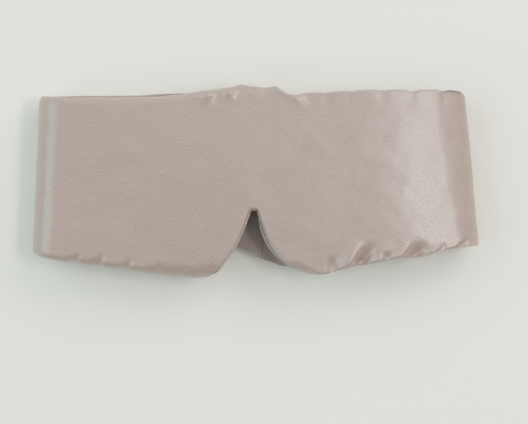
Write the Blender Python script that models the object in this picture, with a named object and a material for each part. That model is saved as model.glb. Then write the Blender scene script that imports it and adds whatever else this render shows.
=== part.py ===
"""Wrap-around padded satin eye mask, closed and lying face up on a table.

The mask is one padded loop that has been pressed flat: the front with its nose notch lies on top, a soft roll
turns down at each side, and two back bands meet underneath, where a hook-and-loop flap closes them.

Every layer is drawn on a strip that runs round the loop. A place on it has three numbers: s, the distance from
the middle of the front along the outer satin; y, the height as worn; and depth, how far it lies under the outer
satin. loop_point() wraps the strip round the loop. Metres, +Z up, the origin on the table under the middle.
"""

from math import cos, hypot, pi, radians, sin, sqrt

import bmesh
import bpy
import numpy as np
from mathutils import Vector

MM = 0.001

# Driving dimensions
HALF_FLAT = 115 * MM  # from the middle of the front to where a side roll starts
ROLL_RADIUS = 15.5 * MM  # outer radius of a side roll: the closed loop is twice this thick
PAD = 11 * MM  # thickness of the padding with its satin on both sides
CROWN = 4 * MM  # the front swells this much over its middle
FLARE = 0.06  # the side rolls lean out towards the cheeks, in metres per metre
EDGE_ROUND = 7 * MM  # the pad's edges round off over this width
MAX_STRETCH = 2.6  # keeps steps across the notch's steep sides from running too far along y
HALF_HEIGHT = 56.5 * MM

# Layers
SATIN = 0.8 * MM  # satin with its seam allowance and backing
SKIN_GAP = 0.15 * MM  # half the gap where outer satin and lining meet at the seam
STUFFING_INSET = 1.6 * MM  # the wadding lies this far inside the satin's outer face
BLACKOUT = 0.6 * MM  # light-blocking cloth between the front's two waddings
LAYER_GAP = 0.3 * MM

# Joints
FRONT_END = radians(45)  # a side roll's upper crease, as an angle from the top of the roll
BAND_START = radians(135)  # its lower crease
CREASE_GAP = radians(1.2)  # room on each side of a crease
FLARE_FROM = 60 * MM  # the lean fades out from the rolls to this far from the middle

# Closure, at the middle of the back
BAND_END = 1.5 * MM  # each back band stops this far from the middle
END_ROUND = 7 * MM  # a band's end rounds off over this length
FLAP_STACK = 5.3 * MM  # the left band lifts this much to lie on the flap
FLAP_STEP = (64 * MM, 74 * MM)  # from the middle: where the lift is full, and where it starts
FLAP_HALF_HEIGHT = 37 * MM
FLAP_MIDDLE = 3.5 * MM  # the bands' mid-height
FLAP_REACH = (-58 * MM, -0.1 * MM)  # the flap runs from its free end to its root
FLAP_FOLD = 0.5 * MM  # where it folds down from its root strip
FLAP_CORNER = 14 * MM
ROOT_STRIP = (0.2 * MM, 1.2 * MM)  # the flap cloth that rises to the right band's end seam
ROOT_HEIGHT = (0.3 * MM, 7.0 * MM)
TAPE_INSET = 5 * MM
TAPE_END = -8 * MM  # the tapes stop this far short of the flap's root

BINDING_RADIUS = 1.0 * MM
BINDING_GAP = 0.3 * MM

# The loop's edges as (distance along the strip, height), from the middle of the front to the back's middle
LOWER_EDGE = [
    (0, -16.4), (1.3, -16.9), (2.4, -18.5), (3.3, -21.5), (5.0, -28), (8.5, -37), (14, -45.6), (18.5, -50),
    (25, -54.3), (33, -56.5), (45, -56.1), (65, -53.6), (90, -50), (115, -46.1), (139, -43.5), (163.7, -42.3),
    (277, -41),
]
UPPER_EDGE = [
    (0, 56.5), (9, 56.1), (20, 53.4), (32, 51.6), (60, 51.2), (115, 51), (139, 50.2), (163.7, 49.4), (277, 48.4),
]

NOTCH_STATIONS = [0, 1.3, 2.4, 3.3, 4.2, 5.4, 7, 9, 11.5, 14.5, 18.5, 23, 28, 35, 47, 65, 85, 100]
END_STATIONS = [0, 1.4, 3.0, 5.0, 7.0]
ROUND_STEPS = 3
TOP_OF_BACK = HALF_FLAT + pi * ROLL_RADIUS  # where the roll ends and the flat back starts
BACK_MIDDLE = TOP_OF_BACK + HALF_FLAT


# Geometry of the strip

def slopes(points):
    """A monotone slope at each point, so that a curve through them never overshoots."""
    gaps = [(b[1] - a[1]) / (b[0] - a[0]) for a, b in zip(points, points[1:])]
    inner = [2 * a * b / (a + b) if a * b > 0 else 0 for a, b in zip(gaps, gaps[1:])]
    return [0, *inner, gaps[-1]]


def curve_at(points, at):
    """The height at one place of the smooth curve through the points, all in millimetres."""
    found = slopes(points)
    last = len(points) - 2
    i = min(last, max(0, sum(1 for p in points if p[0] <= at) - 1))
    (x0, y0), (x1, y1) = points[i], points[i + 1]
    span = x1 - x0
    t = (at - x0) / span
    return (
        y0 * (1 + 2 * t) * (1 - t) ** 2
        + y1 * t * t * (3 - 2 * t)
        + span * t * (1 - t) * (found[i] * (1 - t) - found[i + 1] * t)
    )


def edges_at(s):
    """Lower and upper edge of the loop at a distance along the strip."""
    return tuple(curve_at(edge, abs(s) / MM) * MM for edge in (LOWER_EDGE, UPPER_EDGE))


def stretch_at(s):
    """Per edge, how much longer a step across the edge is when it is taken along y instead of square to it."""
    step = 0.05 * MM
    before, after = edges_at(abs(s) - step), edges_at(abs(s) + step)
    return [min(MAX_STRETCH, hypot(1, (b - a) / (2 * step))) for a, b in zip(before, after)]


def edge_samples():
    """Places along both edges, closer together in the notch."""
    places = [0.25 * i for i in range(160)] + [40 + 2 * i for i in range(119)]
    return [np.array([(s * MM, edges_at(s * MM)[k]) for s in places]) for k in (0, 1)]


def distance_to_edge(s, y):
    return min(np.min(np.hypot(edge[:, 0] - abs(s), edge[:, 1] - y)) for edge in EDGE_SAMPLES)


def smooth_step(value, start, end):
    t = min(1, max(0, (value - start) / (end - start)))
    return t * t * (3 - 2 * t)


def loop_point(s, y, depth):
    """The place in space of a point of the strip. Positive s runs round the right side, negative the left."""
    side = 1 if s >= 0 else -1
    along = abs(s)
    if along <= HALF_FLAT:
        x, z = along, 2 * ROLL_RADIUS - depth
    elif along <= TOP_OF_BACK:
        angle = (along - HALF_FLAT) / ROLL_RADIUS
        x = HALF_FLAT + (ROLL_RADIUS - depth) * sin(angle)
        z = ROLL_RADIUS + (ROLL_RADIUS - depth) * cos(angle)
    else:
        x, z = BACK_MIDDLE - along, depth
    lean = FLARE * y * smooth_step(x, FLARE_FROM, HALF_FLAT)
    return Vector((side * (x - lean), y, z))


def lift_at(s):
    """How far the outer satin stands off the table: only the left band's end does, where the flap lies under it."""
    if s > 0 or abs(s) < TOP_OF_BACK:
        return 0
    from_middle = BACK_MIDDLE - abs(s)
    return FLAP_STACK * (1 - smooth_step(from_middle, *FLAP_STEP))


def swell_at(s, inset):
    """1 along the loop, falling to 0 in a quarter ellipse at a band's end."""
    from_end = BACK_MIDDLE - BAND_END - inset - abs(s)
    width = END_ROUND - inset
    if from_end >= width:
        return 1
    return sqrt(max(0, 1 - (1 - max(0, from_end) / width) ** 2))


def crown_at(s, y):
    """How far the front swells above the flat pad."""
    return CROWN * max(0, 1 - (s / HALF_FLAT) ** 2) * max(0, 1 - (y / HALF_HEIGHT) ** 2)


def seam_at(s):
    """Depth of the seam where the outer satin and the lining meet: half way through the pad."""
    return (lift_at(s) + PAD) / 2


def face_line(s, inset, face, rim, crowned=False):
    """Points across the strip, from rim to rim, over a face that rounds down to the rim's depth at each edge."""
    low, high = edges_at(s)
    low_stretch, high_stretch = stretch_at(s)
    low += inset * low_stretch
    high -= inset * high_stretch
    reach = EDGE_ROUND - inset
    rounded = [reach * (1 - cos(i / ROUND_STEPS * pi / 2)) for i in range(ROUND_STEPS + 1)]
    places = [low + across * low_stretch for across in rounded]
    upper = [high - across * high_stretch for across in reversed(rounded)]
    if crowned:
        places += [places[-1] + (upper[0] - places[-1]) * t for t in (0.25, 0.5, 0.75)]
    line = []
    for y in places + upper:
        inside = min(1, max(0, (distance_to_edge(s, y) - inset) / reach))
        if y in (low, high):
            inside = 0
        lifted = face - (crown_at(s, y) if crowned else 0)
        line.append((y, rim + (lifted - rim) * sqrt(1 - (1 - inside) ** 2)))
    return line


# Stations along the strip

def front_stations():
    half = [value * MM for value in NOTCH_STATIONS] + [HALF_FLAT]
    half += [HALF_FLAT + ROLL_RADIUS * a for a in (FRONT_END / 3, FRONT_END * 2 / 3, FRONT_END - CREASE_GAP)]
    return [-s for s in reversed(half[1:])] + half


def roll_stations(side):
    first, last = FRONT_END + CREASE_GAP, BAND_START - CREASE_GAP
    angles = [first + (last - first) * i / 6 for i in range(7)]
    return [side * (HALF_FLAT + ROLL_RADIUS * a) for a in angles]


def band_stations(side, inset=0.0):
    bend = [BAND_START + CREASE_GAP, radians(150), radians(165), pi]
    found = [HALF_FLAT + ROLL_RADIUS * a for a in bend]
    found += [BACK_MIDDLE - x * MM for x in ((76, 74, 71, 68, 65.5, 63, 30) if side < 0 else (60, 30))]
    found += [BACK_MIDDLE - BAND_END - inset - d * MM for d in reversed(END_STATIONS)]
    return [side * s for s in found]


# Building objects

def clear_scene():
    for obj in list(bpy.data.objects):
        bpy.data.objects.remove(obj)


def make_collection():
    collection = bpy.data.collections.new("eye_mask")
    bpy.context.scene.collection.children.link(collection)
    return collection


def make_material(name, color, roughness):
    material = bpy.data.materials.new(name)
    material.use_nodes = True
    shader = material.node_tree.nodes["Principled BSDF"]
    shader.inputs["Base Color"].default_value = (*color, 1)
    shader.inputs["Roughness"].default_value = roughness
    return material


def add_object(name, mesh, material, body):
    """Links a smooth mesh as a named object under the empty of the body that it moves with."""
    obj = bpy.data.objects.new(name, mesh)
    collection.objects.link(obj)
    mesh.materials.append(material)
    obj.parent = body
    obj.location = -body.location
    mesh.shade_smooth()
    mesh.set_sharp_from_angle(angle=radians(40))


def layer(name, stations, near, far, material, body):
    """A solid layer that follows the strip. near and far give its two faces at a station, as lines of points."""
    bm = bmesh.new()
    rings = [[bm.verts.new(point) for point in near(s) + far(s)[::-1]] for s in stations]
    count = len(rings[0])
    for ring, following in zip(rings, rings[1:]):
        for j in range(count):
            k = (j + 1) % count
            bm.faces.new((ring[j], following[j], following[k], ring[k]))
    bm.faces.new(rings[0])
    bm.faces.new(rings[-1])
    bmesh.ops.recalc_face_normals(bm, faces=bm.faces)
    mesh = bpy.data.meshes.new(name)
    bm.to_mesh(mesh)
    bm.free()
    add_object(name, mesh, material, body)


def is_front(stations):
    """The front's strip crosses the middle; every other piece lies on one side."""
    return stations[0] * stations[-1] < 0


def skin(name, stations, lining, material, body):
    """Satin over one face of the pad, from seam to seam."""
    crowned = is_front(stations) and not lining
    turn = -1 if lining else 1

    def face_at(s, inset):
        last = BACK_MIDDLE - BAND_END - inset
        at = max(-last, min(last, s))
        rim = seam_at(at) - turn * SKIN_GAP
        face = (PAD if lining else lift_at(at)) + turn * inset
        face = rim + (face - rim) * swell_at(at, inset)
        return wrapped(at, face_line(at, inset, face, rim, crowned))

    layer(name, stations, lambda s: face_at(s, 0), lambda s: face_at(s, SATIN), material, body)


def wrapped(s, line):
    return [loop_point(s, y, depth) for y, depth in line]


def level_line(s, depth):
    """A flat line across the strip at one depth, inside the satin."""
    low, high = edges_at(s)
    low_stretch, high_stretch = stretch_at(s)
    return wrapped(s, [(low + STUFFING_INSET * low_stretch, depth), (high - STUFFING_INSET * high_stretch, depth)])


def outer_half(s):
    """The front wadding's rounded outer face."""
    rim = seam_at(s) - BLACKOUT / 2 - 2 * LAYER_GAP
    return wrapped(s, face_line(s, STUFFING_INSET, STUFFING_INSET, rim, crowned=True))


def inner_half(s):
    """The front wadding's rounded inner face."""
    rim = seam_at(s) + BLACKOUT / 2 + 2 * LAYER_GAP
    return wrapped(s, face_line(s, STUFFING_INSET, PAD - STUFFING_INSET, rim))


def whole_outer(s):
    """The outer face of a side's or a band's wadding."""
    seam, swell = seam_at(s), swell_at(s, STUFFING_INSET)
    face = seam + (lift_at(s) + STUFFING_INSET - seam) * swell
    return wrapped(s, face_line(s, STUFFING_INSET, face, seam - LAYER_GAP))


def whole_inner(s):
    """The inner face of a side's or a band's wadding."""
    seam, swell = seam_at(s), swell_at(s, STUFFING_INSET)
    face = seam + (PAD - STUFFING_INSET - seam) * swell
    return wrapped(s, face_line(s, STUFFING_INSET, face, seam + LAYER_GAP))


def tube(name, points, radius, material, body):
    """A cord of round section through the points, with closed ends."""
    data = bpy.data.curves.new(name, "CURVE")
    data.dimensions = "3D"
    data.bevel_depth = radius
    data.bevel_resolution = 2
    data.use_fill_caps = True
    spline = data.splines.new("POLY")
    spline.points.add(len(points) - 1)
    for spot, point in zip(spline.points, points):
        spot.co = (*point, 1)
    obj = bpy.data.objects.new(name, data)
    collection.objects.link(obj)
    data.materials.append(material)
    obj.parent = body
    obj.location = -body.location


def rounded_panel(x_range, half_height, corner):
    """Outline of a panel whose two corners at the low-x end are arcs."""
    left, right = x_range
    low, high = FLAP_MIDDLE - half_height, FLAP_MIDDLE + half_height
    steps = 6
    top = [
        (left + corner * (1 - sin(a)), high - corner * (1 - cos(a)))
        for a in (pi / 2 * i / steps for i in range(steps + 1))
    ]
    bottom = [(x, low + high - y) for x, y in reversed(top)]
    return [(right, low), (right, high), *top, *bottom]


def sheet(name, outline, bottom, top, material, body):
    """A flat piece of cloth or tape: a closed outline from the bottom height to the top one."""
    data = bpy.data.curves.new(name, "CURVE")
    data.dimensions = "2D"
    data.fill_mode = "BOTH"
    data.extrude = (top - bottom) / 2
    spline = data.splines.new("POLY")
    spline.points.add(len(outline) - 1)
    for spot, (x, y) in zip(spline.points, outline):
        spot.co = (x, y, 0, 1)
    spline.use_cyclic_u = True
    obj = bpy.data.objects.new(name, data)
    collection.objects.link(obj)
    data.materials.append(material)
    obj.parent = body
    obj.location = Vector((0, 0, (bottom + top) / 2)) - body.location


def make_body(name, location):
    """An empty on a joint's axis, which carries the pieces of one moving body."""
    empty = bpy.data.objects.new(name, None)
    collection.objects.link(empty)
    empty.location = location
    return empty


# The mask's assemblies

def build_front(body):
    stations = front_stations()
    skin("front_shell", stations, False, satin, body)
    skin("front_lining", stations, True, lining_satin, body)
    blackout_near = seam_at(0) - BLACKOUT / 2
    blackout_far = seam_at(0) + BLACKOUT / 2
    layer(
        "front_outer_wadding", stations, outer_half, lambda s: level_line(s, blackout_near - LAYER_GAP),
        wadding, body,
    )
    layer(
        "front_blackout_layer", stations, lambda s: level_line(s, blackout_near),
        lambda s: level_line(s, blackout_far), blackout_cloth, body,
    )
    layer(
        "front_inner_wadding", stations, lambda s: level_line(s, blackout_far + LAYER_GAP), inner_half,
        wadding, body,
    )
    build_notch_binding(body)


def build_notch_binding(body):
    """A piped edge that follows the nose notch just outside the satin, at the seam's depth."""
    reach = 24
    half = [0, 1.0, 1.8, 2.5, 3.1, 3.8, 4.8, 6.2, 8, 10.5, 13.5, 17, 20.5, reach]
    places = [-value * MM for value in reversed(half[1:])] + [value * MM for value in half]
    away = BINDING_RADIUS + BINDING_GAP
    step = 0.05 * MM
    points = []
    for s in places:
        rise = (edges_at(s + step)[0] - edges_at(s - step)[0]) / (2 * step)
        outward = Vector((rise, -1, 0)).normalized()
        points.append(loop_point(s, edges_at(s)[0], seam_at(s)) + outward * away)
    tube("nose_notch_binding", points, BINDING_RADIUS, binding_satin, body)


def build_side(word, side, body):
    stations = roll_stations(side)
    skin(f"{word}_side_shell", stations, False, satin, body)
    skin(f"{word}_side_lining", stations, True, lining_satin, body)
    layer(f"{word}_side_wadding", stations, whole_outer, whole_inner, wadding, body)


def build_band(word, side, body):
    stations = band_stations(side)
    skin(f"{word}_band_shell", stations, False, satin, body)
    skin(f"{word}_band_lining", stations, True, lining_satin, body)
    inside = band_stations(side, STUFFING_INSET)[:-1]
    layer(f"{word}_band_wadding", inside, whole_outer, whole_inner, wadding, body)


def build_closure(left_band, right_band, flap):
    """The flap is sewn to the right band's end and reaches under the left band, hooks upwards."""
    low, high = FLAP_MIDDLE - FLAP_HALF_HEIGHT, FLAP_MIDDLE + FLAP_HALF_HEIGHT
    root = [(ROOT_STRIP[0], low), (ROOT_STRIP[1], low), (ROOT_STRIP[1], high), (ROOT_STRIP[0], high)]
    sheet("flap_root_strip", root, *ROOT_HEIGHT, satin, right_band)
    outline = rounded_panel(FLAP_REACH, FLAP_HALF_HEIGHT, FLAP_CORNER)
    left, right = FLAP_REACH
    inner_reach = (left + 1.5 * MM, right - 1.5 * MM)
    inner = rounded_panel(inner_reach, FLAP_HALF_HEIGHT - 1.5 * MM, FLAP_CORNER - 1.5 * MM)
    tape_reach = (left + TAPE_INSET, TAPE_END)
    tape = rounded_panel(tape_reach, FLAP_HALF_HEIGHT - TAPE_INSET, FLAP_CORNER - TAPE_INSET)
    sheet("flap_shell", outline, 0, 0.7 * MM, satin, flap)
    sheet("flap_stiffener", inner, 1.0 * MM, 1.4 * MM, stiffener_cloth, flap)
    sheet("flap_lining", outline, 1.7 * MM, 2.1 * MM, lining_satin, flap)
    sheet("closure_hook_tape", tape, 2.4 * MM, 3.4 * MM, hook_nylon, flap)
    sheet("closure_loop_tape", tape, 3.7 * MM, 5.0 * MM, loop_nylon, left_band)


def crease(side, angle):
    """The middle of a side roll's crease, on the outer satin."""
    return loop_point(side * (HALF_FLAT + ROLL_RADIUS * angle), 0, 0)


EDGE_SAMPLES = edge_samples()

clear_scene()
collection = make_collection()

satin = make_material("satin", (0.50, 0.40, 0.36), 0.35)
lining_satin = make_material("lining_satin", (0.47, 0.37, 0.335), 0.42)
binding_satin = make_material("binding_satin", (0.55, 0.46, 0.42), 0.40)
wadding = make_material("wadding", (0.82, 0.81, 0.78), 0.95)
blackout_cloth = make_material("blackout_cloth", (0.03, 0.03, 0.035), 0.90)
stiffener_cloth = make_material("stiffener_cloth", (0.70, 0.69, 0.66), 0.90)
hook_nylon = make_material("hook_nylon", (0.42, 0.34, 0.31), 0.55)
loop_nylon = make_material("loop_nylon", (0.46, 0.37, 0.34), 0.95)

front_pad = make_body("front_pad", (0, 0, 0))
left_side_roll = make_body("left_side_roll", crease(-1, FRONT_END))
right_side_roll = make_body("right_side_roll", crease(1, FRONT_END))
left_band_body = make_body("left_band", crease(-1, BAND_START))
right_band_body = make_body("right_band", crease(1, BAND_START))
closure_flap = make_body("closure_flap", (FLAP_FOLD, 0, 0))

build_front(front_pad)
build_side("left", -1, left_side_roll)
build_side("right", 1, right_side_roll)
build_band("left", -1, left_band_body)
build_band("right", 1, right_band_body)
build_closure(left_band_body, right_band_body, closure_flap)
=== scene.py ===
"""Looks for the wrap-around eye mask: its satin, seams and closure, and the table, light and camera.

The satin is drawn on a strip that runs round the closed loop. A place on the strip is (s, y, depth):
s runs from the middle of the front round one side to the middle of the back, positive to the right;
y is the height as worn; depth lies under the outer satin. Lengths in the tables below are millimetres;
everything that is built is in metres.
"""

from math import pi, radians

import bpy
import numpy as np
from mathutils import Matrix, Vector, kdtree


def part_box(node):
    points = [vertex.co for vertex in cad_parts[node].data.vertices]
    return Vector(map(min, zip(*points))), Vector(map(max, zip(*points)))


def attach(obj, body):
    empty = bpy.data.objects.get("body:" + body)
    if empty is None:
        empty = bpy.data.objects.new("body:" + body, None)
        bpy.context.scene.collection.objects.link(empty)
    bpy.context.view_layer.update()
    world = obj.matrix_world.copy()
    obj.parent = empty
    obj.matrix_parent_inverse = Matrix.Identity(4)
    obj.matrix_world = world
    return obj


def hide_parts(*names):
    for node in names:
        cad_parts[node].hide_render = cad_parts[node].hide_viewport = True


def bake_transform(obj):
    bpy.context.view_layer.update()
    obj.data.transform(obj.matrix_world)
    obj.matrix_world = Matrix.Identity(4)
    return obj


MM = 0.001
LEFT, RIGHT = -1, 1
WORDS = {LEFT: "left", RIGHT: "right"}

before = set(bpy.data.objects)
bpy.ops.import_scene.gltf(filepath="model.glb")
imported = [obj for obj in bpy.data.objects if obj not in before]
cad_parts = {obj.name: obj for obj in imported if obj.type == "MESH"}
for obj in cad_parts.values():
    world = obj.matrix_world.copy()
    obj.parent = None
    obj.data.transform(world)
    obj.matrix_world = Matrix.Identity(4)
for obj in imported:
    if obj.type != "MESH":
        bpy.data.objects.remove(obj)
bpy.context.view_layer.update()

# Driving sizes, from the frame: the pad's thickness without its crown, and the closed loop's thickness
CROWN_IN_CAD = 4
PAD = (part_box("front_shell")[1].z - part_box("front_lining")[0].z) / MM - CROWN_IN_CAD
THICK = (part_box("right_side_shell")[0].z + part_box("right_side_shell")[1].z) / MM
INNER_FOLD = 115.0  # where the lining starts to turn, from the middle

# The closure: each panel's reach along x, half height and corner radius, as in the frame
FLAP_MIDDLE = 3.5
FLAP_SHAPE = ((-58.0, -0.1), 37.0, 14.0)
TAPE_SHAPE = ((-53.0, -8.0), 32.0, 9.0)
# Sections: how far the outline is inset, and the height there
FLAP_OUTER = [(1.0, 0.12), (0.35, 0.2), (0.05, 0.55), (0.0, 1.0), (0.1, 1.25)]
FLAP_INNER = [(0.25, 1.25), (0.15, 1.5), (0.4, 1.9), (1.1, 2.05)]
FLAP_STACK = 5.3  # the flap and both tapes, with a little room over them
FLAP_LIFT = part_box("left_band_shell")[0].z / MM + FLAP_STACK
LIFT_FADE = (63, 75)  # over this stretch the left band comes down again past the flap
# One hook and one loop, as (x, y, height), and the radius of their yarn
HOOK = [(0, 0, 0), (0, 0, 0.22), (0.1, 0, 0.42), (0.3, 0, 0.46), (0.42, 0, 0.36)]
LOOP = [(-0.4, 0, 0), (-0.36, 0, 0.3), (-0.12, 0, 0.52), (0.15, 0, 0.5), (0.36, 0, 0.28), (0.4, 0, 0)]
HOOK_YARN, LOOP_YARN = 0.11, 0.09
# One stitch: its steps along the pitch, and how deep it sinks there, in thread radii
STITCH = ((0.08, 0.8), (0.2, 0), (0.65, 0), (0.77, 0.8))
FLAP_HALFWAY = 1  # stitches above this height sink downwards, and those below it upwards

# Colours
SATIN_COLOR = (0.392, 0.289, 0.243)
# The lining's own colour, darkened as painted shade for the shaded inside of the nose notch
LINING_OWN_AND_PAINTED_SHADE_COLOR = (0.27, 0.2, 0.17)
# The binding rim's colour, lightened above the satin's as a painted highlight on the rim
BINDING_AND_PAINTED_HIGHLIGHT_COLOR = (0.50, 0.43, 0.375)
# The facing's own colour, darkened as painted shade where it slopes into the notch
FACING_AND_PAINTED_SHADE_COLOR = (0.31, 0.245, 0.21)
HOOK_COLOR = (0.36, 0.285, 0.25)
LOOP_COLOR = (0.40, 0.315, 0.28)

# The outer satin turns over a flattened roll: it starts at FOLD and stands out by REACH
FOLD = {LEFT: 118.0, RIGHT: 113.0}
REACH = {LEFT: 15.0, RIGHT: 21.2}
LEAN = {LEFT: 0.049, RIGHT: 0.087}  # each end leans outwards towards the chin,
LEAN_START = 60  # from here on
# Where the front's satin starts to turn at mid height, and how much later that is towards the chin
FRONT_FOLD = {LEFT: 118.0, RIGHT: 113.5}
FRONT_FOLD_LEAN = {LEFT: 0.0, RIGHT: 0.105}
BACK_START = 168.8  # where the satin lies flat again, on the bands
# The bands' ends meet behind the head, and the left one is a thin lip that covers the right one. For each:
# how far it ends before the middle, its seam's depth and the width of its rounding
END_BEFORE = {LEFT: -5.0, RIGHT: 1.5}
END_SEAM = {LEFT: PAD + 0.2, RIGHT: PAD / 2}
END_ROUND = {LEFT: 6.0, RIGHT: 3.0}
STRIP_END = {side: BACK_START + FOLD[side] - END_BEFORE[side] for side in (LEFT, RIGHT)}
END_FADE = (2, 12)  # over this stretch from the end, the seam comes back to its depth elsewhere
LIP_RISE, LIP_FADE = 0.6, (5, 12)  # the lip stands this much over the right band's lining

# The widths over which satin and lining round off at the edges
EDGE_ROUND = {LEFT: 4.5, RIGHT: 1.7}
LINING_ROUND = 7.0
# On the lobes beside the nose the satin rounds off over this much more, and the seam is this much deeper
LOBE_ROUND, LOBE_SEAM = 5.0, 3.0
LOBE_START, LOBE_END, LOBE_FADE = (14, 28), {LEFT: 54.0, RIGHT: 27.0}, 14
LOBE_BELOW = (20, 35)  # the seam deepens over this stretch under the middle line
# In the nose notch the rounding is small and the seam lies close under the satin
NOTCH_ROUND, NOTCH_SEAM = 1.6, 1.6
NOTCH_SIDE, NOTCH_TOP = (17, 27), (-14, 20)
# Past the right lobe, the lower seam lies this part of its depth nearer to the satin
HEM_RISE, HEM_START, HEM_END, HEM_TOP = 0.75, (30, 45), (104, 120), (-30, 0)
# Over each side roll the seams move out by these parts of their depth, which squares the corners
CORNER_LOWER = {LEFT: 0.0, RIGHT: 0.8}
CORNER_UPPER = {LEFT: 0.75, RIGHT: 0.55}
CORNER_START, CORNER_END = (112, 136), (150, 176)
# The front swells in the middle, over this half length and half height, and sinks towards the right end,
# leaning with that end
CROWN, CROWN_HALF = 3.0, (FOLD[RIGHT], 57)
SAG = {LEFT: 0.0, RIGHT: 5.4}
SAG_START, SAG_RUN, SAG_LEAN, SAG_END = 72.0, 50.0, 0.11, (112, 150)
# The underside stays a hair above the table
UNDERSIDE, TABLE_GAP = (152, 166), 0.15

LOWER, UPPER = "lower", "upper"
INWARD = {LOWER: 1, UPPER: -1}
# The strip's edges, as (distance from the middle of the front, height)
LOWER_EDGE = {
    LEFT: [
        (0, -18.9), (2.0, -19.1), (2.8, -20.5), (4.2, -24.2), (6.9, -31.2), (11.7, -41.2), (18.5, -51.0),
        (20.7, -54.6), (25.5, -57.9), (31, -59.8), (37, -59.9), (46, -59.3), (68.7, -56.4), (92.7, -53.1),
        (117, -49.6), (143, -47), (168.8, -45), (262, -39), (276, -40.8), (284, -44.2), (292, -48.4),
    ],
    RIGHT: [
        (0, -18.9), (1.4, -19.1), (2.1, -20.7), (4.4, -27.3), (8.1, -36.9), (14.1, -45.7), (21.3, -52.6),
        (29, -56.6), (38.1, -57.9), (57.3, -53.7), (81.3, -48.9), (99, -46.6), (109, -43.2), (123, -41.4),
        (141, -40.2), (168.8, -41), (235, -48), (255, -53.6), (264, -53.4), (271.3, -51), (277.3, -48.7),
        (281.8, -46.6),
    ],
}
UPPER_EDGE = {
    LEFT: [
        (0, 55.8), (8.7, 56.9), (13, 55.6), (18.3, 54.8), (24, 54.0), (33, 53.0), (44.7, 51.1), (62.7, 49.3),
        (116.7, 48.9), (133, 49.6), (143, 50.4), (168.8, 51), (215, 51.4), (236, 52.4), (252, 52.6),
        (290, 50),
    ],
    RIGHT: [
        (0, 55.8), (5.7, 55.0), (12.9, 55.8), (15.3, 54.2), (19.5, 51.6), (24, 50.5), (30.5, 51.8),
        (46.5, 52.7), (70.5, 53.8), (117, 53.8), (133, 52.9), (141, 52.0), (168.8, 49.4), (281, 48.5),
    ],
}
EDGES = {LOWER: LOWER_EDGE, UPPER: UPPER_EDGE}

# Gathers, where a seam's thread pulls its edge in: place, pull, depth, width and length of the dip in the
# satin, and how far the dip leans to the right as it runs inwards
GATHER_SPREAD = 3.4
GATHERS = {
    LOWER: [
        (-107.5, 1.0, 1.8, 1.9, 5, 0.8), (-94.5, 1.2, 2.1, 2.0, 6, 0.8), (-78.5, 0.8, 1.8, 2.0, 6, 0.8),
        (-58, 0.3, 0.5, 2.4, 7, 0.3), (-44, 0.3, 0.4, 2.8, 8, 0.2), (47.4, 0.5, 2.4, 2.6, 9, -0.1),
        (61, 0.8, 1.4, 1.9, 5, 0.6), (78.5, 0.4, 2.4, 2.3, 5, 0.1), (85, 0.3, 1.1, 0.9, 9, 0.9),
        (107, 0.4, 0.8, 1.4, 5, 0.9),
    ],
    UPPER: [
        (-86, 0.25, 0.2, 2.6, 9, 0.2), (-45, 0.4, 0.3, 2.8, 9, 0.3), (42, 0.5, 0.5, 3.0, 10, 0.3),
        (58.5, 0.35, 0.3, 2.4, 8, -0.3), (77, 0.5, 0.4, 3.0, 10, 0.2), (98, 1.1, 0.4, 3.6, 11, -0.2),
        (118, 0.9, 0.4, 3.2, 9, 0.1),
    ],
}

# Folds that cross the front, each from its seam inwards: start, end, width, height (a valley's is below 0)
# and how many times as wide it is on its right
CREST_FOLDS = [
    ((12, 59), (30, 45), 3.0, 1.7, 0.9),
    ((26, 56), (36, 45), 3.4, -1.6, 1.2),
    ((-4.5, 61), (-3.5, 52), 2.8, 0.7, 1.2),
    ((-8.5, 61), (-8, 51), 2.2, -0.9, 1.0),
    ((8, 60), (7, 48), 4.5, -1.3, 1.0),
    ((-15.5, 60), (-14.5, 46), 4.2, 2.2, 0.8),
    ((-26, 58), (-30, 44), 4.6, 2.3, 0.8),
]
RIGHT_LOBE_FOLDS = [
    ((54, -58), (63, -38), 6.0, 2.6, 0.5),
    ((61, -58), (70.5, -39.5), 3.2, -4.4, 0.9),
    ((73, -54), (76.5, -46), 2.2, 1.6, 1.0),
    ((77, -57), (91, -41), 3.0, 2.6, 0.8),
    ((89, -54), (98.5, -39), 3.3, -4.8, 1.0),
    ((97, -51), (108, -40), 2.2, 2.0, 1.0),
    ((119, -43), (129, -37), 1.6, -1.8, 1.0),
]
# The satin's gentle unevenness: height, seed and wavelength
UNEVEN = ((0.16, 1, 46), (0.10, 2, 19), (0.03, 3, 8))
WRINKLE_RIM = 2.5  # wrinkles fade out over this width at the edges


# The strip

def smooth_curve(points, at):
    """Values at several places of the monotone smooth curve through the points."""
    x, y = np.array(points, float).T
    gaps = np.diff(y) / np.diff(x)
    product = gaps[:-1] * gaps[1:]
    total = np.where(product > 0, gaps[:-1] + gaps[1:], 1)
    inner = np.where(product > 0, 2 * product / total, 0)
    slope = np.concatenate([[0], inner, gaps[-1:]])
    i = np.clip(np.searchsorted(x, at, side="right") - 1, 0, len(x) - 2)
    span = x[i + 1] - x[i]
    t = (at - x[i]) / span
    return (
        y[i] * (1 + 2 * t) * (1 - t) ** 2
        + y[i + 1] * t * t * (3 - 2 * t)
        + span * t * (1 - t) * (slope[i] * (1 - t) - slope[i + 1] * t)
    )


def smooth_step(value, start, end):
    t = np.clip((value - start) / (end - start), 0, 1)
    return t * t * (3 - 2 * t)


def between(value, rise, fall):
    """1 between two soft changes and 0 outside them. Each change is a start and an end."""
    return smooth_step(value, *rise) * (1 - smooth_step(value, *fall))


def quarter_round(distance, width):
    """A quarter circle's rise from 0 at an edge to 1 at the given width."""
    return np.sqrt(1 - (1 - np.clip(distance / width, 0, 1)) ** 2)


def by_side(table, s):
    """Each place's value from a left and right pair."""
    return np.where(s < 0, table[LEFT], table[RIGHT])


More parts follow.
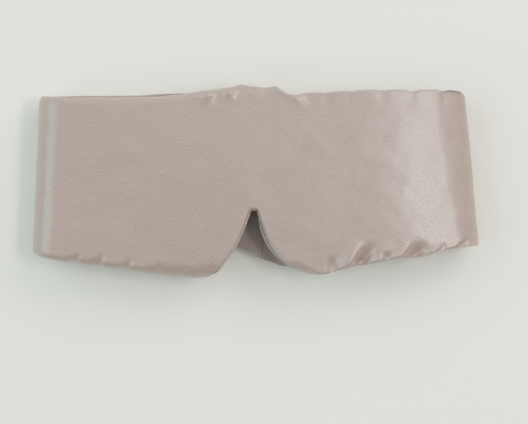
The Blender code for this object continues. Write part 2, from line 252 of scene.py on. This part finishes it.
def edge_at(edge, s):
    """The height of the lower or upper edge, with its gathers."""
    along = np.abs(s)
    left, right = smooth_curve(EDGES[edge][LEFT], along), smooth_curve(EDGES[edge][RIGHT], along)
    height = np.where(s < 0, left, right)
    for place, pull, *_ in GATHERS[edge]:
        height = height + INWARD[edge] * pull * np.exp(-(((s - place) / GATHER_SPREAD) ** 2))
    return height


def lift_at(s):
    """How far the left band's end is lifted, where the flap lies under it."""
    from_middle = BACK_START + by_side(FOLD, s) - np.abs(s)
    lifted = FLAP_LIFT * (1 - smooth_step(from_middle, *LIFT_FADE))
    return np.where((s < 0) & (np.abs(s) > BACK_START), lifted, 0)


def loop_place(s, y, depth):
    """Places in space, in millimetres, of places on the strip. The arrays have one shape."""
    along, fold, reach = np.abs(s), by_side(FOLD, s), by_side(REACH, s)
    turn = np.clip((along - fold) / (BACK_START - fold), 0, 1) * pi
    flat = np.where(along < BACK_START, np.minimum(along, fold), fold + BACK_START - along)
    inner_x = flat * INNER_FOLD / fold + (THICK / 2 - PAD) * np.sin(turn)
    inner_z = THICK / 2 + (THICK / 2 - PAD) * np.cos(turn)
    silhouette = (fold + BACK_START) / 2
    front = along < silhouette
    front_fold = by_side(FRONT_FOLD, s) - by_side(FRONT_FOLD_LEAN, s) * y
    front_turn = np.clip((along - front_fold) / (silhouette - front_fold), 0, 1) * pi / 2
    front_x = np.minimum(along, front_fold) + (fold + reach - front_fold) * np.sin(front_turn)
    outer_x = np.where(front, front_x, flat + reach * np.sin(turn))
    outer_z = THICK / 2 * (1 + np.cos(np.where(front, front_turn, turn)))
    part = depth / PAD
    x = outer_x * (1 - part) + inner_x * part
    z = outer_z * (1 - part) + inner_z * part
    x = x - by_side(LEAN, s) * y * smooth_step(x, LEAN_START, fold)
    return np.stack([np.sign(s + 1e-9) * x, y, z], -1)


def stations(fine):
    """Places along the strip from the left band's end to the right one's, closest at the notch and ends."""
    notch, tip = 30, 8
    half = {}
    for side in (LEFT, RIGHT):
        end = STRIP_END[side]
        half[side] = np.concatenate([
            np.arange(0, notch, 0.5 * fine),
            np.arange(notch, BACK_START, 1.0 * fine),
            np.arange(BACK_START, end - tip, 2.0 * fine),
            end - tip * (1 - np.linspace(0, 1, int(16 / fine)) ** 0.7),
        ])
    return np.concatenate([-half[LEFT][:0:-1], half[RIGHT]])


def columns(fine):
    """Fractions across the strip, closest at the edges."""
    rim = 0.12
    edge = np.linspace(0, 1, int(22 / fine)) ** 1.5 * rim
    middle = np.linspace(rim, 1 - rim, int(72 / fine))[1:-1]
    return np.concatenate([edge, middle, 1 - edge[::-1]])


def edge_distances(s, y):
    """Distance of every place from the strip's nearest edge, in millimetres."""
    walk = stations(0.5)
    walk = walk[np.abs(walk) < BACK_START + 100]
    tree = kdtree.KDTree(2 * len(walk))
    for k, edge in enumerate(EDGES):
        for i, (a, b) in enumerate(zip(walk, edge_at(edge, walk))):
            tree.insert((a, b, 0), k * len(walk) + i)
    tree.balance()
    flat = [tree.find((a, b, 0))[2] for a, b in zip(s.ravel(), y.ravel())]
    return np.array(flat).reshape(s.shape)


# Wrinkles

def ripple(s, y, seed, length):
    """Smooth random values from about -1 to 1, with the given wavelength in millimetres."""
    rng = np.random.default_rng(seed)
    total = np.zeros_like(s)
    for _ in range(9):
        angle, phase = rng.uniform(0, 2 * pi, 2)
        stretch = rng.uniform(0.7, 1.5)
        across = s * np.cos(angle) + y * np.sin(angle)
        total += np.sin(across * 2 * pi / (length * stretch) + phase)
    return total / 4


def fold_line(s, y, start, end, width, height, to_right=1.0):
    """A ridge (height above 0) or a valley along a line on the strip, which fades in and out on its way."""
    (s0, y0), (s1, y1) = start, end
    length = np.hypot(s1 - s0, y1 - y0)
    along = ((s - s0) * (s1 - s0) + (y - y0) * (y1 - y0)) / length ** 2
    across = ((s - s0) * (y1 - y0) - (y - y0) * (s1 - s0)) / length * np.sign(y1 - y0)
    ends = between(along, (-0.25, 0.15), (0.45, 1.15))
    scale = np.where(across > 0, width * to_right, width)
    return height * np.exp(-((across / scale) ** 2)) * ends


def wrinkles(s, y, edge_gap):
    """How far the satin stands above its smooth shape."""
    height = sum(rise * ripple(s, y, seed, length) for rise, seed, length in UNEVEN)
    for fold in CREST_FOLDS + RIGHT_LOBE_FOLDS:
        height = height + fold_line(s, y, *fold)
    for edge in EDGES:
        inward = INWARD[edge]
        for place, _, depth, width, length, lean in GATHERS[edge]:
            rim = float(edge_at(edge, np.array([place]))[0])
            start, end = (place, rim - inward * 2), (place + lean * length, rim + inward * length)
            height = height + fold_line(s, y, start, end, width, -depth)
    return height * quarter_round(edge_gap, WRINKLE_RIM)


# The skins' depth on the strip

def in_notch(s, y):
    """1 round the edge of the nose notch and 0 away from it."""
    return (1 - smooth_step(np.abs(s), *NOTCH_SIDE)) * (1 - smooth_step(y, *NOTCH_TOP))


def on_lobe(s, y):
    """1 on the lobes beside the nose and 0 elsewhere."""
    end = by_side(LOBE_END, s)
    return between(np.abs(s), LOBE_START, (end, end + LOBE_FADE)) * (y < 0)


def seam_depth(s, y, across, to_end, lift):
    """How deep the seams between satin and lining lie under the outer satin."""
    corner = between(np.abs(s), CORNER_START, CORNER_END)
    outwards = corner * (by_side(CORNER_LOWER, s) * (1 - across) + by_side(CORNER_UPPER, s) * across)
    hem = between(s, HEM_START, HEM_END) * (1 - smooth_step(y, *HEM_TOP))
    seam = (lift + PAD) / 2 * (1 - outwards) * (1 - HEM_RISE * hem)
    seam = seam + LOBE_SEAM * on_lobe(s, y) * smooth_step(-y, *LOBE_BELOW)
    seam = seam + (NOTCH_SEAM - seam) * in_notch(s, y)
    return seam + (by_side(END_SEAM, s) - seam) * (1 - smooth_step(to_end, *END_FADE))


def satin_depth(s, y, gap, to_end, lift, seam):
    """Depth of the outer satin, which swells from seam to seam and carries the wrinkles."""
    width = by_side(EDGE_ROUND, s) + LOBE_ROUND * on_lobe(s, y)
    width = width + (NOTCH_ROUND - width) * in_notch(s, y)
    rise = quarter_round(gap, width) * quarter_round(to_end, by_side(END_ROUND, s))
    past_start = np.clip((np.abs(s) + SAG_LEAN * y - SAG_START) / SAG_RUN, 0, None)
    sag = by_side(SAG, s) * past_start ** 2 * (1 - smooth_step(np.abs(s), *SAG_END))
    crown = CROWN * np.clip(1 - (s / CROWN_HALF[0]) ** 2, 0, 1) * np.clip(1 - (y / CROWN_HALF[1]) ** 2, 0, 1)
    depth = seam + (lift + sag - crown - seam) * rise - wrinkles(s, y, gap)
    off_table = lift + TABLE_GAP * smooth_step(np.abs(s), *UNDERSIDE)
    return np.where(np.abs(s) > UNDERSIDE[0], np.maximum(depth, off_table), depth)


def lining_depth(s, y, gap, to_end, seam):
    """Depth of the lining, which is a little uneven and thins into the left end's lip."""
    rise = quarter_round(gap, LINING_ROUND) * quarter_round(to_end, by_side(END_ROUND, s))
    lip = LIP_RISE * (1 - smooth_step(to_end, *LIP_FADE)) * (s < 0)
    depth = seam + (PAD + lip - seam) * rise
    return depth + 0.2 * ripple(s, y, 5, 30) * smooth_step(gap, 0, 4)


# Meshes

def skin_grid(fine, lining):
    """Places, normals and strip coordinates of a whole skin of the loop, from band end to band end."""
    s, across = np.meshgrid(stations(fine), columns(fine), indexing="ij")
    low, high = edge_at(LOWER, s), edge_at(UPPER, s)
    y = low + (high - low) * across
    gap = edge_distances(s, y)
    gap[:, 0] = 0
    gap[:, -1] = 0
    to_end = by_side(STRIP_END, s) - np.abs(s)
    lift = lift_at(s)
    seam = seam_depth(s, y, across, to_end, lift)
    if lining:
        depth = lining_depth(s, y, gap, to_end, seam)
    else:
        depth = satin_depth(s, y, gap, to_end, lift, seam)
    places = loop_place(s, y, depth) * MM
    normals = np.cross(np.gradient(places, axis=0), np.gradient(places, axis=1))
    normals /= np.linalg.norm(normals, axis=-1, keepdims=True) + 1e-12
    if lining:
        normals = -normals
    return {"s": s, "places": places, "normals": normals, "uv": np.stack([s, y], -1) * MM, "flip": lining}


def linked(name, data):
    """A new object with this data, in the scene."""
    obj = bpy.data.objects.new(name, data)
    bpy.context.scene.collection.objects.link(obj)
    return obj


def grid_piece(name, grid, first, last, material):
    """One piece of a skin: the stations from first to last, shaded as part of the whole."""
    start, stop = np.searchsorted(grid["s"][:, 0], (first, last))
    rows = np.arange(start, min(stop + 1, len(grid["s"])))
    places, normals, uv = (grid[key][rows] for key in ("places", "normals", "uv"))
    count, wide = places.shape[:2]
    index = np.arange(count * wide).reshape(count, wide)
    quads = np.stack([index[:-1, :-1], index[1:, :-1], index[1:, 1:], index[:-1, 1:]], -1).reshape(-1, 4)
    if grid["flip"]:
        quads = quads[:, ::-1]
    mesh = bpy.data.meshes.new(name)
    mesh.from_pydata(places.reshape(-1, 3).tolist(), [], quads.tolist())
    layer = mesh.uv_layers.new(name="strip")
    layer.data.foreach_set("uv", uv.reshape(-1, 2)[quads.ravel()].ravel())
    mesh.shade_smooth()
    mesh.normals_split_custom_set_from_vertices(normals.reshape(-1, 3).tolist())
    mesh.materials.append(material)
    return linked(name, mesh)


def plain_mesh(name, places, faces, material):
    """A mesh piece from millimetre places, with its texture laid flat from above and its sharp edges kept."""
    mesh = bpy.data.meshes.new(name)
    mesh.from_pydata([(x * MM, y * MM, z * MM) for x, y, z in places], [], faces)
    layer = mesh.uv_layers.new(name="strip")
    for corner in mesh.loops:
        layer.data[corner.index].uv = mesh.vertices[corner.vertex_index].co.xy
    mesh.shade_smooth()
    mesh.set_sharp_from_angle(angle=radians(50))
    mesh.materials.append(material)
    return linked(name, mesh)


def ring_faces(count, wide):
    """Faces of a closed body through rings of places, each ring wide places long, with flat ends."""
    last = (count - 1) * wide
    faces = [list(range(wide))[::-1], [last + i for i in range(wide)]]
    for ring in range(count - 1):
        for i in range(wide):
            a, b = ring * wide + i, ring * wide + (i + 1) % wide
            faces.append([a, b, b + wide, a + wide])
    return faces


def cord_data(name, radius, resolution):
    """An empty round cord of this radius in metres; each of its splines is a line of points."""
    data = bpy.data.curves.new(name, "CURVE")
    data.dimensions = "3D"
    data.bevel_depth = radius
    data.bevel_resolution = resolution
    data.use_fill_caps = True
    return data


def variable_tube(name, points, radii, material):
    """A round cord through points, with its own radius in millimetres at each."""
    data = cord_data(name, MM, 3)
    spline = data.splines.new("POLY")
    spline.points.add(len(points) - 1)
    for spot, point, radius in zip(spline.points, points, radii):
        spot.co = (*point, 1)
        spot.radius = radius
    data.materials.append(material)
    return linked(name, data)


# Materials

MIX_A, MIX_B, MIX_RESULT = 6, 7, 2  # the Mix node's sockets for colours


class Nodes:
    """Short calls to build one material's node tree."""

    def __init__(self, name):
        self.material = bpy.data.materials.new(name)
        self.material.use_nodes = True
        self.tree = self.material.node_tree
        self.shader = self.tree.nodes["Principled BSDF"]

    def add(self, kind, **inputs):
        node = self.tree.nodes.new(kind)
        for key, value in inputs.items():
            self.put(node.inputs[key.replace("_", " ")], value)
        return node

    def put(self, socket, value):
        if isinstance(value, bpy.types.NodeSocket):
            self.tree.links.new(value, socket)
        else:
            socket.default_value = value

    def noise(self, vector, scale, detail, roughness):
        return self.add("ShaderNodeTexNoise", Vector=vector, Scale=scale, Detail=detail, Roughness=roughness)

    def own_place(self):
        """Coordinates in the piece's own space."""
        return self.tree.nodes.new("ShaderNodeTexCoord").outputs["Object"]

    def strip(self, stretch):
        """Strip coordinates in metres, stretched."""
        uv = self.tree.nodes.new("ShaderNodeTexCoord")
        mapping = self.add("ShaderNodeMapping", Vector=uv.outputs["UV"], Scale=stretch)
        return mapping.outputs["Vector"]

    def ramp(self, factor, low, high, dark, light):
        node = self.add("ShaderNodeValToRGB", Fac=factor)
        node.color_ramp.elements[0].position = low
        node.color_ramp.elements[0].color = (*dark, 1)
        node.color_ramp.elements[1].position = high
        node.color_ramp.elements[1].color = (*light, 1)
        return node.outputs["Color"]

    def multiplied(self, color, other):
        node = self.add("ShaderNodeMix", Factor=1.0)
        node.data_type = "RGBA"
        node.blend_type = "MULTIPLY"
        self.put(node.inputs[MIX_A], color)
        self.put(node.inputs[MIX_B], other)
        return node.outputs[MIX_RESULT]

    def bump(self, height, strength, distance, normal=None):
        node = self.add("ShaderNodeBump", Height=height, Strength=strength, Distance=distance)
        if normal is not None:
            self.put(node.inputs["Normal"], normal)
        return node.outputs["Normal"]

    def finish(self, color, roughness, normal, **fixed):
        self.put(self.shader.inputs["Base Color"], color)
        self.put(self.shader.inputs["Roughness"], roughness)
        self.put(self.shader.inputs["Normal"], normal)
        for key, value in fixed.items():
            self.shader.inputs[key.replace("_", " ")].default_value = value
        return self.material


def scaled(color, by):
    return tuple(c * by for c in color)


def satin_material(name, color, roughness=0.34):
    """Satin: long smooth floats of yarn with a fine sparkle, and a soft sheen."""
    n = Nodes(name)
    floats = n.noise(n.strip((1, 0.6, 1)), 1500, 3, 0.75)
    yarns = n.noise(n.strip((0.6, 1, 1)), 1100, 2, 0.6)
    cloud = n.noise(n.strip((0.35, 1, 1)), 90, 4, 0.6)
    shade = n.ramp(cloud.outputs["Fac"], 0.3, 0.7, scaled(color, 0.955), scaled(color, 1.04))
    speck = n.ramp(floats.outputs["Fac"], 0.3, 0.7, (0.71, 0.71, 0.72), (1.26, 1.26, 1.26))
    mixed = n.multiplied(shade, speck)
    rough = n.add("ShaderNodeMapRange", Value=yarns.outputs["Fac"])
    rough.inputs["From Min"].default_value = 0.3
    rough.inputs["From Max"].default_value = 0.7
    rough.inputs["To Min"].default_value = roughness - 0.05
    rough.inputs["To Max"].default_value = roughness + 0.07
    weave = n.bump(floats.outputs["Fac"], 0.6, 0.00008)
    soft = n.bump(yarns.outputs["Fac"], 0.45, 0.00012, weave)
    return n.finish(
        mixed, rough.outputs["Result"], soft,
        Specular_IOR_Level=1.0, Sheen_Weight=0.08, Sheen_Roughness=0.35, Anisotropic=0.2,
    )


def thread_material():
    """Polyester thread with a fine twist."""
    n = Nodes("thread")
    twist = n.add("ShaderNodeTexWave", Vector=n.own_place(), Scale=900)
    color = n.ramp(twist.outputs["Fac"], 0.2, 0.8, (0.36, 0.28, 0.25), (0.48, 0.39, 0.35))
    return n.finish(color, 0.5, n.bump(twist.outputs["Fac"], 0.3, 0.00005), Specular_IOR_Level=0.5)


def nylon_material(name, color, roughness):
    """Fastener tape: dyed nylon over a woven base, paler where it has worn."""
    n = Nodes(name)
    place = n.own_place()
    wear = n.noise(place, 140, 3, 0.6)
    weave = n.add("ShaderNodeTexChecker", Vector=place, Scale=1600)
    shade = n.ramp(wear.outputs["Fac"], 0.35, 0.7, scaled(color, 0.85), scaled(color, 1.2))
    return n.finish(shade, roughness, n.bump(weave.outputs["Fac"], 0.3, 0.00005), Specular_IOR_Level=0.4)


def table_material():
    """A pale, smooth, matt surface, faintly cloudy."""
    n = Nodes("table")
    place = n.own_place()
    cloud = n.noise(place, 3, 2, 0.5)
    fine = n.noise(place, 900, 2, 0.6)
    color = n.ramp(cloud.outputs["Fac"], 0.35, 0.65, (0.88, 0.865, 0.785), (0.90, 0.885, 0.805))
    return n.finish(color, 0.75, n.bump(fine.outputs["Fac"], 0.05, 0.0001), Specular_IOR_Level=0.2)


# The mask

SIDE_START = 100  # where the front's skins meet the side rolls' skins
FRONT_LAYERS = ["front_outer_wadding", "front_blackout_layer", "front_inner_wadding"]


def follow_side(obj, upper):
    """Bakes a skin's placement into its mesh, the same way for an upper roll (upper) and for a band."""
    if upper:
        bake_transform(obj)
    else:
        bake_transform(obj)


def build_skin(kind, grid, material):
    """One skin in five pieces: the front, two upper rolls and two bands."""
    front = grid_piece(f"front_{kind}_skin", grid, -SIDE_START, SIDE_START, material)
    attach(front, "front_pad")
    pieces = {"front": front}
    for side in (LEFT, RIGHT):
        word = WORDS[side]
        silhouette = side * (FOLD[side] + BACK_START) / 2
        first, last = sorted((side * SIDE_START, silhouette))
        roll = grid_piece(f"{word}_roll_{kind}", grid, first, last, material)
        follow_side(roll, upper=True)
        first, last = sorted((silhouette, side * STRIP_END[side]))
        band = grid_piece(f"{word}_band_{kind}_skin", grid, first, last, material)
        follow_side(band, upper=False)
        pieces[f"{word}_side"] = roll
        pieces[f"{word}_band"] = band
    for word, piece in pieces.items():
        inside = []
        if kind == "satin":
            inside = FRONT_LAYERS if word == "front" else [f"{word}_wadding"]
        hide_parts(f"{word}_{'shell' if kind == 'satin' else 'lining'}", *inside)


def build_skins(satin, lining):
    """The outer satin and the lining."""
    build_skin("satin", skin_grid(1.0, False), satin)
    build_skin("lining", skin_grid(2.0, True), lining)


def notch_walk(reach):
    """Places along the notch's edge and the directions out of the satin there, from left to right."""
    half = np.linspace(0.25, 1, 60) ** 2 * reach
    s = np.concatenate([-half[::-1], half])
    y = edge_at(LOWER, s)
    step = 0.2
    rise = (edge_at(LOWER, s + step) - edge_at(LOWER, s - step)) / (2 * step)
    outward = np.stack([rise, -np.ones_like(rise), np.zeros_like(rise)], -1)
    return s, y, outward / np.linalg.norm(outward, axis=1, keepdims=True)


# The rim: its radius, how much its lumps add to that, the least it thins to, and its height over the seam
RIM_RADIUS, RIM_LUMPS, RIM_LEAST, RIM_RISE = 0.27, 0.12, 0.08, 0.4


def build_binding():
    """The notch's sewn rim, its colour lightened as a painted highlight; it is thinnest at its top and fades
    out at its foot.
    """
    # Painted highlight: the rim's cloth is coloured lighter than the satin
    cloth = satin_material("binding_satin", BINDING_AND_PAINTED_HIGHLIGHT_COLOR, 0.45)
    s, y, outward = notch_walk(24)
    lumps = 0.5 * ripple(s * 3, y * 2, 11, 5)
    faded = 1 - smooth_step(np.abs(s), 14, 23)
    radii = (RIM_RADIUS + RIM_LUMPS * lumps) * faded * smooth_step(np.abs(s), 0.2, 3) + RIM_LEAST
    on_edge = loop_place(s, y, np.full_like(s, NOTCH_SEAM - RIM_RISE))
    points = on_edge + outward * (0.05 + 0.15 * lumps)[:, None]
    rim = variable_tube("nose_notch_rim", (points * MM).tolist(), radii.tolist(), cloth)
    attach(rim, "front_pad")


# The facing shows past the rim, most on the right: its width, how far it stands out of the notch's edge,
# its depth under the rim, and its section as (part of the width, drop)
FACING_WIDE = {LEFT: 0.3, RIGHT: 1.3}
FACING_OUT = {LEFT: 0.3, RIGHT: 0.85}
FACING_DEPTH = 2.0
FACING_SECTION = [(0, 0.8), (0.0, 0.0), (0.4, 0.1), (0.8, 0.5), (1.0, 1.2), (0.9, 1.9), (0.0, 2.2)]


def build_facing():
    """The turned edge of the notch: a narrow rounded strip that slopes down from the rim, coloured darker as
    painted shade.
    """
    # Painted shade: the facing's cloth is coloured darker to stand for the shade in the notch
    cloth = satin_material("facing_satin_and_painted_shade", FACING_AND_PAINTED_SHADE_COLOR, 0.5)
    s, y, outward = notch_walk(25)
    shown = (1 - smooth_step(np.abs(s), 10, 24)) * smooth_step(np.abs(s), 1.5, 6)
    wide = by_side(FACING_WIDE, s) * shown + 0.05
    away = by_side(FACING_OUT, s) * smooth_step(np.abs(s), 0.5, 3)
    rows = []
    for out, drop in FACING_SECTION:
        depth = np.full_like(s, NOTCH_SEAM + FACING_DEPTH) + drop
        rows.append(loop_place(s, y, depth) + outward * (away + out * wide)[:, None])
    places = np.stack(rows, 1).reshape(-1, 3)
    faces = ring_faces(len(s), len(FACING_SECTION))
    facing = plain_mesh("nose_notch_facing", places.tolist(), faces, cloth)
    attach(facing, "front_pad")
    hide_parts("nose_notch_binding")


# The closure, under the left band

def rounded_outline(reach, half_height, corner, inset):
    """A panel's outline from its low-x end, with that end's two corners round. Lengths are millimetres."""
    left, right = reach[0] + inset, reach[1] - inset
    half, radius = half_height - inset, corner - inset
    turn = np.linspace(0, pi / 2, 8)
    top = [(left + radius * (1 - np.sin(a)), FLAP_MIDDLE + half - radius * (1 - np.cos(a))) for a in turn]
    bottom = [(x, 2 * FLAP_MIDDLE - y) for x, y in reversed(top)]
    return [(right, FLAP_MIDDLE - half), (right, FLAP_MIDDLE + half), *top, *bottom]


def lofted(shape, section):
    """Places and faces of a closed panel of this shape through a section, from its lowest ring up."""
    rings = [[(x, y, z) for x, y in rounded_outline(*shape, inset)] for inset, z in section]
    places = [place for ring in rings for place in ring]
    return places, ring_faces(len(rings), len(rings[0]))


def swept(path, radius):
    """Places and faces of a small four-sided tube along a path, closed at its far end."""
    path = np.array(path, float)
    steps = np.gradient(path, axis=0)
    steps /= np.linalg.norm(steps, axis=1, keepdims=True)
    across = np.array([0, 1.0, 0])
    places = []
    for spot, step in zip(path, steps):
        up = np.cross(step, across)
        places += [spot + across * radius, spot + up * radius, spot - across * radius, spot - up * radius]
    faces = [
        [4 * k + i, 4 * k + (i + 1) % 4, 4 * k + 4 + (i + 1) % 4, 4 * k + 4 + i]
        for k in range(len(path) - 1) for i in range(4)
    ]
    faces.append([len(places) - 4 + i for i in range(4)])
    return np.array(places), faces


def scattered(template, spots, turns, upside):
    """Places and faces of a small template's copies on spots, each turned about its own upright."""
    shape, shape_faces = template
    places, faces = [], []
    for (x, y, z), turn in zip(spots, turns):
        c, s = np.cos(turn), np.sin(turn)
        start = len(places)
        for a, b, h in shape:
            places.append((x + a * c - b * s, y + a * s + b * c, z + h * upside))
        faces += [[start + i for i in face] for face in shape_faces]
    return places, faces


def tape_spots(pitch, turned, foot):
    """Where a tape's hooks or loops stand, in staggered rows clear of its edge, and how each is turned."""
    rng = np.random.default_rng(21)
    (left, right), half, corner = TAPE_SHAPE
    margin = 2
    spots, turns = [], []
    rows = np.arange(FLAP_MIDDLE - half + margin, FLAP_MIDDLE + half - margin, pitch)
    for row, y in enumerate(rows):
        for x in np.arange(left + margin + pitch / 2 * (row % 2), right - margin, pitch):
            past_x = max(left + corner - x, 0)
            past_y = max(abs(y - FLAP_MIDDLE) - half + corner, 0)
            if np.hypot(past_x, past_y) < corner - margin:
                spots.append((x, y + rng.uniform(-0.15, 0.15), foot))
                turns.append(rng.uniform(0, 2 * pi) if turned else pi * (row % 2))
    return spots, turns


def tape(name, base_low, base_high, template, pitch, turned, upside, material, body):
    """A fastener tape: a woven base with small hooks or loops standing on it, up (1) or down (-1)."""
    bevel_inset, bevel = 0.25, 0.15
    section = [
        (bevel_inset, base_low), (0.0, base_low + bevel), (0.0, base_high - bevel), (bevel_inset, base_high),
    ]
    base, faces = lofted(TAPE_SHAPE, section)
    spots, turns = tape_spots(pitch, turned, base_high if upside > 0 else base_low)
    small, small_faces = scattered(template, spots, turns, upside)
    faces += [[len(base) + i for i in face] for face in small_faces]
    obj = plain_mesh(name, base + small, faces, material)
    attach(obj, body)
    return obj


def stitches(name, outline, z, pitch, radius, material):
    """Short rounded stitches along an outline."""
    data = cord_data(name, radius * MM, 2)
    walk = np.array(outline + outline[:1], float)
    along = np.concatenate([[0], np.cumsum(np.linalg.norm(np.diff(walk, axis=0), axis=1))])
    down = np.sign(z - FLAP_HALFWAY)
    for start in np.arange(0, along[-1] - pitch, pitch):
        spline = data.splines.new("POLY")
        spline.points.add(len(STITCH) - 1)
        for spot, (step, sink) in zip(spline.points, STITCH):
            at = start + step * pitch
            place = [np.interp(at, along, walk[:, axis]) * MM for axis in (0, 1)]
            spot.co = (*place, (z - down * sink * radius) * MM, 1)
    data.materials.append(material)
    return linked(name, data)


def build_flap(satin, lining, thread):
    """The closure flap: a flat satin pouch with a turned, topstitched edge."""
    outer = plain_mesh("flap_satin", *lofted(FLAP_SHAPE, FLAP_OUTER), satin)
    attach(outer, "closure_flap")
    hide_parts("flap_shell", "flap_stiffener")
    inner = plain_mesh("flap_inner_satin", *lofted(FLAP_SHAPE, FLAP_INNER), lining)
    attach(inner, "closure_flap")
    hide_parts("flap_lining")
    seam = rounded_outline(*FLAP_SHAPE, 2.6)
    for name, z in (("flap_stitches_outer", 0.14), ("flap_stitches_inner", 2.08)):
        row = stitches(name, seam, z, 2.6, 0.14, thread)
        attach(row, "closure_flap")


# The root's cloth from the right band's end seam down to the flap, as (x, height)
ROOT_PATH = [
    (1.35, 5.6), (0.95, 4.6), (0.8, 3.2), (0.75, 2.0), (0.7, 1.3), (0.45, 0.85), (0.0, 0.65), (-0.8, 0.6),
    (-2.2, 0.6),
]
ROOT_HALF_THICKNESS, ROOT_MARGIN = 0.22, 0.6


def build_root(satin):
    """The flap's cloth turns up at its root and is sewn into the right band's end seam."""
    path = np.array(ROOT_PATH)
    steps = np.gradient(path, axis=0)
    steps /= np.linalg.norm(steps, axis=1, keepdims=True)
    side = np.stack([-steps[:, 1], steps[:, 0]], 1) * ROOT_HALF_THICKNESS
    section = np.concatenate([path + side, (path - side)[::-1]])
    half = FLAP_SHAPE[1]
    rows = np.linspace(FLAP_MIDDLE - half + ROOT_MARGIN, FLAP_MIDDLE + half - ROOT_MARGIN, 40)
    places = [(x, y, z) for y in rows for x, z in section]
    root = plain_mesh("flap_root_satin", places, ring_faces(len(rows), len(section)), satin)
    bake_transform(root)
    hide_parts("flap_root_strip")


def build_tapes(thread):
    """The hooks on the flap, the loops on the left band, and the rows of stitches that hold both tapes."""
    hook_nylon = nylon_material("hook_nylon", HOOK_COLOR, 0.45)
    hook, loop = swept(HOOK, HOOK_YARN), swept(LOOP, LOOP_YARN)
    hooks = tape("closure_hooks", 2.3, 2.95, hook, 1.5, False, 1, hook_nylon, "closure_flap")
    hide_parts("closure_hook_tape")
    loop_nylon = nylon_material("loop_nylon", LOOP_COLOR, 0.9)
    loops = tape("closure_loops", 4.25, 5.1, loop, 1.1, True, -1, loop_nylon, "left_band")
    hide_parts("closure_loop_tape")
    edge = rounded_outline(*TAPE_SHAPE, 1.0)
    for name, z, body, slot in (
        ("hook_tape_stitches", 2.98, "closure_flap", "hook_nylon"),
        ("loop_tape_stitches", 4.22, "left_band", "loop_nylon"),
    ):
        row = stitches(name, edge, z, 2.4, 0.12, thread)
        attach(row, body)


def build_mask():
    satin = satin_material("satin", SATIN_COLOR)
    # Painted shade: the lining's colour is darkened to stand for the shade inside the nose notch
    lining = satin_material("lining_satin", LINING_OWN_AND_PAINTED_SHADE_COLOR, 0.45)
    build_skins(satin, lining)
    build_binding()
    build_facing()
    thread = thread_material()
    build_flap(satin, lining, thread)
    build_root(satin)
    build_tapes(thread)


# Table, light and camera

def build_table():
    mesh = bpy.data.meshes.new("table")
    half = 3
    corners = [(-half, -half, 0), (half, -half, 0), (half, half, 0), (-half, half, 0)]
    mesh.from_pydata(corners, [], [(0, 1, 2, 3)])
    mesh.materials.append(table_material())
    table = linked("table", mesh)


def area_light(name, place, target, size, power, color):
    data = bpy.data.lights.new(name, "AREA")
    data.shape = "RECTANGLE"
    data.size, data.size_y = size
    data.energy = power
    data.color = color
    light = linked(name, data)
    light.location = place
    light.rotation_euler = (Vector(target) - Vector(place)).to_track_quat("-Z", "Y").to_euler()


def build_room():
    """Even light from all round, brighter on the side of the mask's upper edge."""
    world = bpy.data.worlds.new("room")
    world.use_nodes = True
    nodes, links = world.node_tree.nodes, world.node_tree.links
    direction = nodes.new("ShaderNodeTexCoord")
    split = nodes.new("ShaderNodeSeparateXYZ")
    bright = nodes.new("ShaderNodeMapRange")
    links.new(direction.outputs["Generated"], split.inputs["Vector"])
    links.new(split.outputs["Y"], bright.inputs["Value"])
    bright.inputs["From Min"].default_value = -1
    bright.inputs["To Min"].default_value = 0.18
    bright.inputs["To Max"].default_value = 0.65
    links.new(bright.outputs["Result"], nodes["Background"].inputs["Strength"])
    nodes["Background"].inputs["Color"].default_value = (1.0, 0.995, 0.985, 1)
    bpy.context.scene.world = world


def build_light():
    area_light("window", (0.70, 0.06, 1.35), (0.05, 0, 0), (0.5, 0.2), 4.3, (1.0, 0.98, 0.98))
    area_light("room_side", (0.95, 0.95, 1.05), (0, 0, 0), (1.2, 0.9), 7.1, (1.0, 0.985, 0.965))
    area_light("left_card", (-1.1, 0.05, 0.85), (-0.1, 0, 0.02), (1.7, 0.9), 7.0, (0.72, 1.0, 1.02))
    build_room()


def rolled_off(level):
    """Brightness after the camera's tone curve, which rolls off gently towards white."""
    gain, knee = 1.7, 0.967
    return gain * level / (level + knee)


def build_tone():
    """The tone curve, on all three colours together."""
    view = bpy.context.scene.view_settings
    view.view_transform = "Standard"
    view.use_curve_mapping = True
    combined = 3
    curve = view.curve_mapping.curves[combined]
    for level in (0.06, 0.15, 0.3, 0.5, 0.75):
        curve.points.new(level, rolled_off(level))
    curve.points[-1].location = (1, rolled_off(1))
    view.curve_mapping.update()


def build_camera():
    """Looks straight down on the mask, from about an arm's length."""
    sensor, distance, frame_width = 36, 1.1, 0.3168
    data = bpy.data.cameras.new("camera")
    data.sensor_width = sensor
    data.lens = sensor * distance / frame_width
    data.clip_end = 50
    camera = linked("camera", data)
    camera.location = (0.0057, -0.0201, THICK * MM + distance)
    bpy.context.scene.camera = camera


build_table()
build_light()
build_tone()
build_camera()
build_mask()
